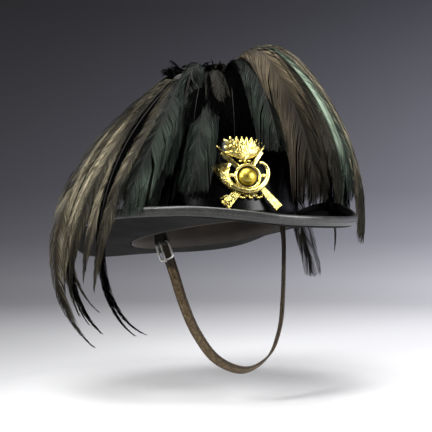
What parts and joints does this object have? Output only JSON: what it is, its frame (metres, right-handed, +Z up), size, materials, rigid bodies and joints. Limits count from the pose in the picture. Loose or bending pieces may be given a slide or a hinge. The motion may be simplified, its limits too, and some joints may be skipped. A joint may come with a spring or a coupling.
{
  "type": "plumed broad-brimmed hat with badge and chin strap",
  "caption": "Black felt hat with a curled broad brim, a gilt flaming-ball badge, a full plume of long arching feathers and a buckled brown leather chin strap, set as worn.",
  "frame": {"origin": "centre of the head opening, where the hat sits on the head", "axes": "+Z up along the wearer's head, front of the hat towards -Y, wearer's right towards -X; the hat is tipped back as worn"},
  "size_m": [0.3358, 0.3396, 0.337],
  "materials": {
    "felt": "glossy black stiffened felt",
    "binding_leather": "black patent leather, worn at the edge",
    "sweat_leather": "pale smooth leather",
    "gilt": "bright gilt",
    "feathers": "black feathers with a green and brown sheen",
    "strap_leather": "worn brown leather",
    "tab_leather": "dark brown leather",
    "steel": "bright steel wire"
  },
  "bodies": {
    "root": {"crown": "felt", "brim": "felt", "brim_binding": "binding_leather", "sweatband": "sweat_leather", "badge": "gilt", "plume": "feathers", "chin_strap": "strap_leather", "strap_tab": "tab_leather", "buckle_frame": "steel", "buckle_prong": "steel"}
  },
  "joints": []
}
